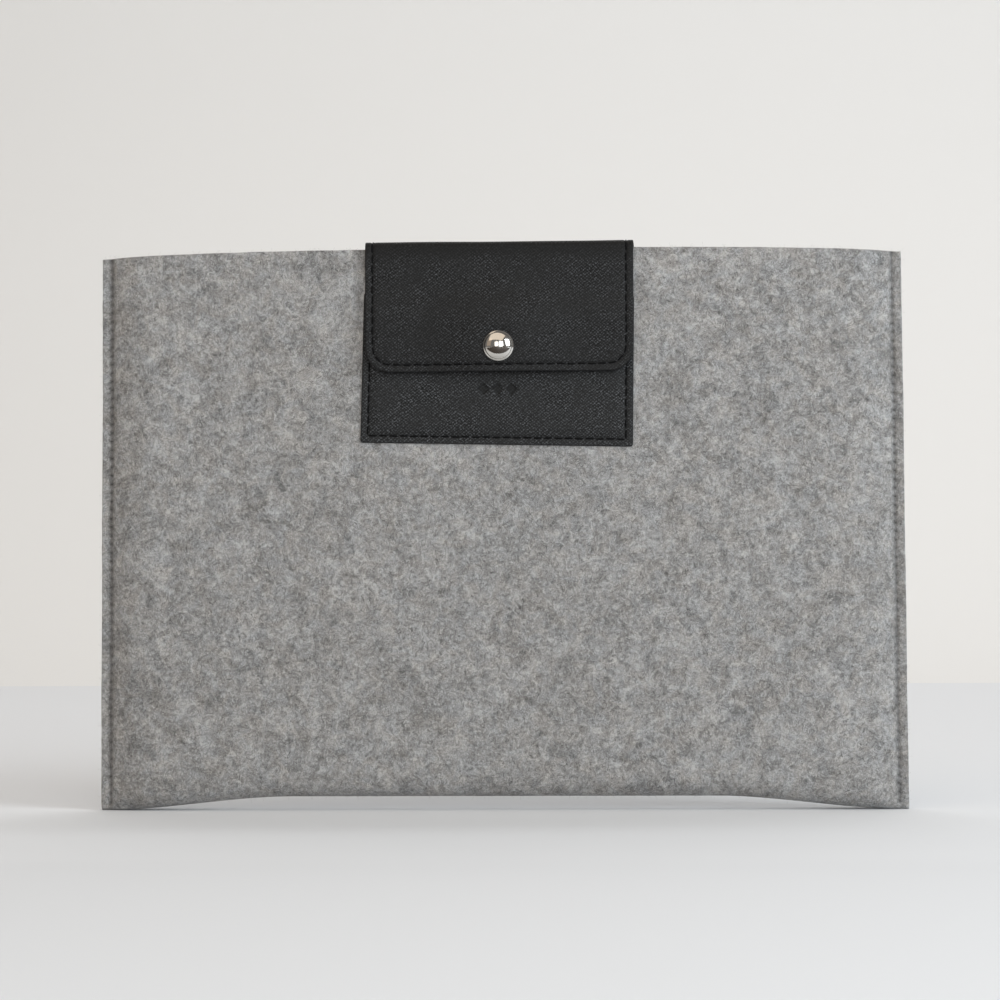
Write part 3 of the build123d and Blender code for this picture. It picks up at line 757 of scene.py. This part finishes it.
class Finish:
    """A material round one principled shader. Node inputs are given as values or as other nodes' outputs."""

    def __init__(self, name, **settings):
        self.material = bpy.data.materials.new(name)
        self.material.use_nodes = True
        self.tree = self.material.node_tree
        self.shader = self.tree.nodes["Principled BSDF"]
        self.shader.distribution = "MULTI_GGX"
        for key, value in settings.items():
            self.feed(self.shader.inputs[key.replace("_", " ")], value)
        self.place = self.add("ShaderNodeTexCoord").outputs["Object"]

    def feed(self, socket, value):
        if isinstance(value, bpy.types.NodeSocket):
            self.tree.links.new(value, socket)
        else:
            socket.default_value = value

    def add(self, kind, inputs=None, **settings):
        node = self.tree.nodes.new(kind)
        for key, value in settings.items():
            setattr(node, key, value)
        for key, value in (inputs or {}).items():
            self.feed(node.inputs[key], value)
        return node

    def noise(self, size, detail=4.0, roughness=0.6, distortion=0.0, vector=None):
        """Noise with lumps about `size` metres across."""
        inputs = {"Vector": vector or self.place, "Scale": 1 / size, "Detail": detail}
        inputs |= {"Roughness": roughness, "Distortion": distortion}
        return self.add("ShaderNodeTexNoise", inputs).outputs["Fac"]

    def strands(self, kinds, width):
        """Thin curling fibres, broken up: the places where a noise crosses its middle value."""
        found = None
        for size, turn in kinds:
            curl = self.noise(size, 2, 0.5, 1.6, self.turned_place(turn, (1, 1, 0.6)))
            line = self.range(self.math("ABSOLUTE", self.math("SUBTRACT", curl, 0.5)), 0.0, width, 1.0, 0.0)
            gaps = self.noise(size * 0.8, 1, 0.5, 0.0, self.turned_place(turn[::-1]))
            piece = self.math("MULTIPLY", line, self.range(gaps, 0.50, 0.58, 0.0, 1.0))
            found = piece if found is None else self.math("MAXIMUM", found, piece)
        return found

    def turned_place(self, degrees, stretch=(1, 1, 1)):
        turn = [radians(d) for d in degrees]
        inputs = {"Vector": self.place, "Rotation": turn, "Scale": stretch}
        return self.add("ShaderNodeMapping", inputs).outputs["Vector"]

    def math(self, operation, a, b=0.0, clamp=False):
        node = self.add("ShaderNodeMath", operation=operation, use_clamp=clamp)
        self.feed(node.inputs[0], a)
        self.feed(node.inputs[1], b)
        return node.outputs[0]

    def ramp(self, value, *stops):
        node = self.add("ShaderNodeValToRGB", {"Fac": value})
        points = node.color_ramp.elements
        while len(points) < len(stops):
            points.new(0.5)
        for point, (position, colour) in zip(points, stops):
            point.position = position
            point.color = (*colour, 1) if hasattr(colour, "__len__") else (colour, colour, colour, 1)
        return node.outputs["Color"]

    def range(self, value, low, high, to_low, to_high):
        inputs = {"Value": value, "From Min": low, "From Max": high, "To Min": to_low, "To Max": to_high}
        return self.add("ShaderNodeMapRange", inputs).outputs["Result"]

    def mix(self, share, a, b, blend="MIX"):
        node = self.add("ShaderNodeMix", data_type="RGBA", blend_type=blend)
        for key, value in (("Factor", share), ("A", a), ("B", b)):
            self.feed(next(s for s in node.inputs if s.name == key and s.enabled), value)
        return next(s for s in node.outputs if s.enabled)

    def value(self, name):
        return self.add("ShaderNodeAttribute", attribute_name=name).outputs["Fac"]

    def bumps(self, *layers):
        """Bump layers, each (height, strength, depth in metres)."""
        normal = None
        for height, strength, depth in layers:
            inputs = {"Height": height, "Strength": strength, "Distance": depth}
            if normal:
                inputs["Normal"] = normal
            normal = self.add("ShaderNodeBump", inputs).outputs["Normal"]
        self.feed(self.shader.inputs["Normal"], normal)


def felt_finish():
    """Pressed wool: light and dark fibres of several lengths, tangled, over soft cloudy blotches."""
    f = Finish("felt_wool", Roughness=0.95, Sheen_Weight=0.15, Sheen_Roughness=0.5, Specular_IOR_Level=0.1)
    clouds = f.noise(0.0100, 4, 0.70, 1.2)
    lumps = f.noise(0.0030, 6, 0.80, 1.8)
    grain = f.noise(0.0007, 4, 0.85, 1.5)
    mixed = f.math("ADD", f.math("MULTIPLY", clouds, 0.23), f.math("MULTIPLY", lumps, 0.41))
    mixed = f.math("ADD", mixed, f.math("MULTIPLY", grain, 0.36))
    stops = (0.415, (0.115, 0.112, 0.109)), (0.50, (0.269, 0.265, 0.260)), (0.59, (0.48, 0.475, 0.468))
    wool = f.ramp(mixed, *stops)
    light = f.strands(((0.0042, (10, 40, 0)), (0.0034, (60, -20, 30))), 0.016)
    wool = f.mix(f.math("MULTIPLY", light, 0.55), wool, (0.55, 0.545, 0.54, 1))
    dark = f.strands(((0.0060, (0, 15, 50)), (0.0044, (-35, 70, 10)), (0.0036, (25, -60, 80))), 0.013)
    wool = f.mix(f.math("MULTIPLY", dark, 0.70), wool, (0.055, 0.053, 0.052, 1))
    tint = f.ramp(f.noise(0.0070, 3, 0.7, 0.8), (0.36, (1.05, 0.99, 0.93)), (0.64, (0.96, 1.0, 1.05)))
    wool = f.mix(0.45, wool, tint, "MULTIPLY")
    # painted shade: the felt is painted darker along the seam's groove
    stitch_shade = f.math("MULTIPLY", f.value("stitch_shade"), 0.22)
    wool = f.mix(stitch_shade, wool, (0.16, 0.155, 0.15, 1))
    # painted shade: the needle holes are painted near black
    wool = f.mix(f.math("MULTIPLY", f.value("pricked"), 0.85), wool, (0.035, 0.033, 0.032, 1))
    f.feed(f.shader.inputs["Base Color"], wool)
    f.bumps((lumps, 0.6, 0.0006), (light, 0.35, 0.0001), (grain, 0.6, 0.00025))
    return f.material


def tinted(tone, share, blue=0.0):
    return (tone[0] * share, tone[1] * share * (1 + blue / 3), tone[2] * share * (1 + blue), 1)


# (slope in degrees, pitch, twist, share of the height) of the ridges printed in the leather
HATCHES = (40, 0.00098, 5.5, 0.15), (31, 0.00150, 6.0, 0.04), (-40, 0.00105, 5.5, 0.13)
LUMP_SIZE, LUMP_SHARE = 0.00085, 0.68


def hatched(f, lie):
    """A printed cross-hatch of short slanting ridges, with lumps between them."""
    height = f.math("MULTIPLY", f.noise(LUMP_SIZE, 3, 0.75, 0.6, lie), LUMP_SHARE)
    for slope, pitch, twist, share in HATCHES:
        turned_lie = f.add("ShaderNodeMapping", {"Vector": lie, "Rotation": (0, 0, radians(-slope))})
        inputs = {"Vector": turned_lie.outputs["Vector"], "Scale": WAVE_UNIT / pitch, "Distortion": twist}
        inputs |= {"Detail": 2.0, "Detail Scale": 1.8, "Detail Roughness": 0.6}
        wave = f.add("ShaderNodeTexWave", inputs, wave_type="BANDS", bands_direction="Y")
        height = f.math("ADD", height, f.math("MULTIPLY", wave.outputs["Fac"], share))
    return height


def leather_finish(name, tone, grain=True):
    """Near-black coated leather with painted shade where it bends, along the groove of its stitches and in
    its needle holes, and, when grained, painted glints on the tops of its grain.
    """
    f = Finish(name, Specular_IOR_Level=0.20)
    lie = f.add("ShaderNodeAttribute", attribute_name="lie").outputs["Vector"]
    patchy = f.noise(0.012, 4, 0.6, 0.0, lie)
    colour = f.mix(f.range(patchy, 0.35, 0.65, 0, 1), tinted(tone, 0.85), tinted(tone, 1.15, 0.05))
    if grain:
        height = hatched(f, lie)
        # painted glints: the grain's ridge tops are painted far lighter and a little bluer, over the grain's
        # own pattern
        stops = (0.38, 0.08, 0), (0.50, 0.60, 0), (0.59, 2.2, 0.05), (0.67, 5.5, 0.1)
        grain_and_painted_glints = f.ramp(height, *((at, tinted(tone, share, blue)[:3]) for at, share, blue in stops))
        colour = f.mix(f.range(patchy, 0.35, 0.65, 0.30, 1.0), colour, grain_and_painted_glints)
        f.feed(f.shader.inputs["Roughness"], f.range(height, 0.3, 0.75, 0.65, 0.40))
        f.bumps((f.noise(0.005, 3, 0.6, 0.0, lie), 0.15, 0.0003), (height, 0.8, 0.00014))
    else:
        fine = f.noise(0.0006, 4, 0.7, 0.0, lie)
        f.feed(f.shader.inputs["Roughness"], f.range(patchy, 0.3, 0.7, 0.55, 0.70))
        f.bumps((fine, 0.35, 0.00006), (f.noise(0.003, 3, 0.6, 0.0, lie), 0.2, 0.0002))
    for key, share, dark in (
        # painted shade over the strap's front bend, and the patch's own darker mark
        ("painted_shade_and_mark", 0.80, tinted(tone, 0.35)),
        # painted shade along the stitches, tinted a little blue
        ("stitch_shade", 0.55, tinted(tone, 0.25, 0.1)),
        # painted shade in the needle holes
        ("pricked", 0.80, tinted(tone, 0.12)),
        ("painted", 0.70, tinted(tone, 0.60)),
    ):
        colour = f.mix(f.math("MULTIPLY", f.value(key), share), colour, dark)
    f.feed(f.shader.inputs["Base Color"], colour)
    return f.material


def thread_finish(name, dark, light):
    f = Finish(name, Roughness=0.75, Specular_IOR_Level=0.10)
    strands = f.noise(0.0003, 3, 0.7, 0.5)
    f.feed(f.shader.inputs["Base Color"], f.ramp(strands, (0.35, dark), (0.65, light)))
    f.bumps((strands, 0.5, 0.00005))
    return f.material


def metal_finish(name, colour, smoothness):
    """Plated metal with faint haze and fine rubbing marks."""
    f = Finish(name, Metallic=1.0)
    haze = f.noise(0.0020, 4, 0.6)
    rub = f.noise(0.0003, 3, 0.6, 0.0, f.turned_place((0, 25, 0), (1, 1, 12)))
    f.feed(f.shader.inputs["Base Color"], f.mix(haze, (*[c * 0.94 for c in colour], 1), (*colour, 1)))
    f.feed(f.shader.inputs["Roughness"], f.range(haze, 0.3, 0.7, smoothness, smoothness + 0.07))
    f.bumps((rub, 0.04, 0.00002))
    return f.material


# ---- Put together -------------------------------------------------------------------------------------
FINISHES = {
    "felt": felt_finish(),
    "seam_thread": thread_finish("thread_grey", (0.11, 0.11, 0.11), (0.27, 0.265, 0.26)),
    "leather": leather_finish("leather_grained", (0.0127, 0.0129, 0.0132)),
    "patch": leather_finish("leather_grained_patch", (0.0190, 0.0194, 0.0198)),
    "lining": leather_finish("leather_plain", (0.022, 0.022, 0.022), grain=False),
    "leather_thread": thread_finish("thread_black", (0.0015, 0.0015, 0.0017), (0.006, 0.006, 0.0065)),
    "nickel": metal_finish("nickel_plate", (0.74, 0.72, 0.68), 0.06),
    "spring_steel": metal_finish("spring_wire", (0.60, 0.60, 0.60), 0.22),
}


def finish(piece, slot, *nodes, look=None):
    piece.data.materials.clear()
    piece.data.materials.append(FINISHES[look or slot])
    if nodes:
        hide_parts(*nodes)


felt = felt_sleeve()
finish(felt, "felt", "felt_body")
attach(felt, "sleeve")

fibres = stray_fibres()
finish(fibres, "felt")
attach(fibres, "sleeve")

patch_leather = patch()
finish(patch_leather, "leather", "stud_patch", look="patch")
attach(patch_leather, "sleeve")


def bend_ends(first, last):
    """Where half of the strap's bend starts and stops, in the middle of its thickness."""
    return [strap_point(0, s, PLIES / 2) for s in (first, last)]


BACK_BEND = bend_ends(MARKS["bend_back"] - 0.0004, MARKS["bridge"] + 0.0034)
FRONT_BEND = bend_ends(MARKS["bend_front"] - 0.0010, MARKS["tongue"] + 0.0012)


def bend_back(piece):
    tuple(BACK_BEND[0])
    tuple(BACK_BEND[1])
    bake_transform(piece)


def bend_front(piece):
    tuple(FRONT_BEND[0])
    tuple(FRONT_BEND[1])
    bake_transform(piece)


pieces = strap()
for ply, slot in (("outer", "leather"), ("lining", "lining")):
    back, front = pieces[f"strap_{ply}_back"], pieces[f"strap_{ply}_front"]
    finish(back, slot, f"flap_{ply}_anchor", f"flap_{ply}_back_fold", f"flap_{ply}_bridge")
    finish(front, slot, f"flap_{ply}_front_fold", f"flap_{ply}_tongue")
    bend_back(back)
    bend_front(front)

sewn = threads()
for key, piece in sewn.items():
    if not key.startswith("strap"):
        finish(piece, "seam_thread" if "seam" in key else "leather_thread", key)
        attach(piece, "sleeve")
finish(sewn["strap_back_needle"], "leather_thread", "anchor_needle_thread")
bend_back(sewn["strap_back_needle"])
finish(sewn["strap_front_needle"], "leather_thread", "bridge_needle_thread", "tongue_needle_thread")
bend_front(sewn["strap_front_needle"])
finish(sewn["strap_front_bobbin"], "leather_thread", "bridge_bobbin_thread", "tongue_bobbin_thread")
bend_front(sewn["strap_front_bobbin"])
finish(sewn["strap_back_bobbin"], "leather_thread")
bend_back(sewn["strap_back_bobbin"])

cap = snap_cap()
finish(cap, "nickel", "snap_cap")
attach(cap, "flap_tongue")
for node in ("snap_socket", "snap_stud", "snap_post", "snap_spring"):
    materials = frame["nodes"][node].data.materials
    materials.clear()
    materials.append(FINISHES["spring_steel" if node == "snap_spring" else "nickel"])


# ---- Stage, light and camera --------------------------------------------------------------------------
def plain(name, colour, roughness=0.9):
    material = bpy.data.materials.new(name)
    material.use_nodes = True
    shader = material.node_tree.nodes["Principled BSDF"]
    shader.inputs["Base Color"].default_value = (*colour, 1)
    shader.inputs["Roughness"].default_value = roughness
    return material


def backdrop(half_width=3.2, front=-3.0, cove=1.15, back=1.75, height=2.6):
    """A pale floor, and a wall that curves up from it, far enough back to leave room for a camera behind."""
    rise = back - cove
    curve = [(cove + rise * sin(t), rise - rise * cos(t)) for t in np.linspace(0, pi / 2, 16)]
    for name, line, colour in (
        ("stage_floor", [(front, 0.0), (cove, 0.0)], (0.735, 0.755, 0.785)),
        ("stage_wall", [*curve, (back, height)], (0.79, 0.79, 0.785)),
    ):
        points = [(x, y, z) for y, z in line for x in (-half_width, half_width)]
        piece = new_piece(name, points, grid_faces(len(line), 2), sharp=radians(80))
        piece.data.materials.append(plain(name + "_pale", colour))


def dark_card():
    """A dark sheet seen only in reflections, for a painted dark reflection in the snap's cap below the
    windows, in place of the dark room past the near end of the table.
    """
    points = [(x, y, 0.001) for y in (-2.9, -0.22) for x in (-1.2, 1.2)]
    piece = new_piece("stage_dark_card", points, grid_faces(2, 2))
    piece.data.materials.append(plain("dark_card", (0.045, 0.035, 0.030)))
    piece.visible_camera = piece.visible_diffuse = piece.visible_shadow = piece.visible_transmission = False


def area_light(name, place, aim, size, radiance, colour):
    data = bpy.data.lights.new(name, "AREA")
    data.shape, data.size, data.size_y = "RECTANGLE", size[0], size[1]
    data.energy, data.color = radiance * pi * size[0] * size[1], colour
    lamp = bpy.data.objects.new(name, data)
    lamp.location = place
    lamp.rotation_euler = (Vector(aim) - Vector(place)).to_track_quat("-Z", "Y").to_euler()
    lamp.visible_camera = False
    bpy.context.scene.collection.objects.link(lamp)


def photo_camera(azimuth=3.04, distance=1.40, lens=121.8, roll=-0.34, shift_y=0.032, aim_z=0.115):
    data = bpy.data.cameras.new("camera")
    data.lens, data.sensor_width = lens, 36
    data.shift_x, data.shift_y = -0.001, shift_y
    data.clip_end = 20
    camera = bpy.data.objects.new("camera", data)
    turn = radians(azimuth)
    camera.location = (distance * sin(turn), -distance * cos(turn), aim_z)
    camera.rotation_euler = Euler((pi / 2, 0, turn))
    camera.rotation_euler.rotate_axis("Z", radians(roll))
    bpy.context.scene.collection.objects.link(camera)
    bpy.context.scene.camera = camera


backdrop()
dark_card()
# a window of two panes behind the camera and another to the right, under a warm ceiling, with a dim warm room
# on the left; a soft light over the back of the sleeve, and one that washes the wall
for lamp in (
    ("window_left_pane", (-0.36, -1.9, 0.52), (-0.36, 0, 0.40), (0.52, 0.74), 2.7, (1.0, 0.96, 0.90)),
    ("window_right_pane", (0.42, -1.9, 0.55), (0.42, 0, 0.40), (0.67, 0.84), 4.9, (0.93, 0.97, 1.0)),
    ("window_side", (1.30, -0.90, 0.70), (0, 0, 0.12), (0.90, 1.00), 6.6, (0.88, 0.95, 1.0)),
    ("ceiling", (-0.4, -1.1, 2.2), (0, 0, 0.1), (3.6, 2.6), 0.76, (1.0, 0.86, 0.70)),
    ("room_left", (-1.7, -1.1, 0.9), (0, 0, 0.12), (1.2, 1.4), 0.20, (1.0, 0.70, 0.45)),
    ("room_back", (-0.3, 1.45, 1.9), (0, 0, 0.10), (2.6, 1.0), 1.00, (1.0, 0.95, 0.90)),
    ("wall_wash", (0.70, 0.70, 1.9), (0.60, 1.75, 0.35), (2.2, 0.6), 3.3, (0.98, 0.99, 1.0)),
):
    area_light(*lamp)

world = bpy.data.worlds.new("studio")
world.use_nodes = True
sky = world.node_tree.nodes["Background"].inputs
sky["Color"].default_value = (0.95, 0.91, 0.87, 1)
sky["Strength"].default_value = 0.20
bpy.context.scene.world = world
bpy.context.scene.view_settings.view_transform = "Standard"
photo_camera()
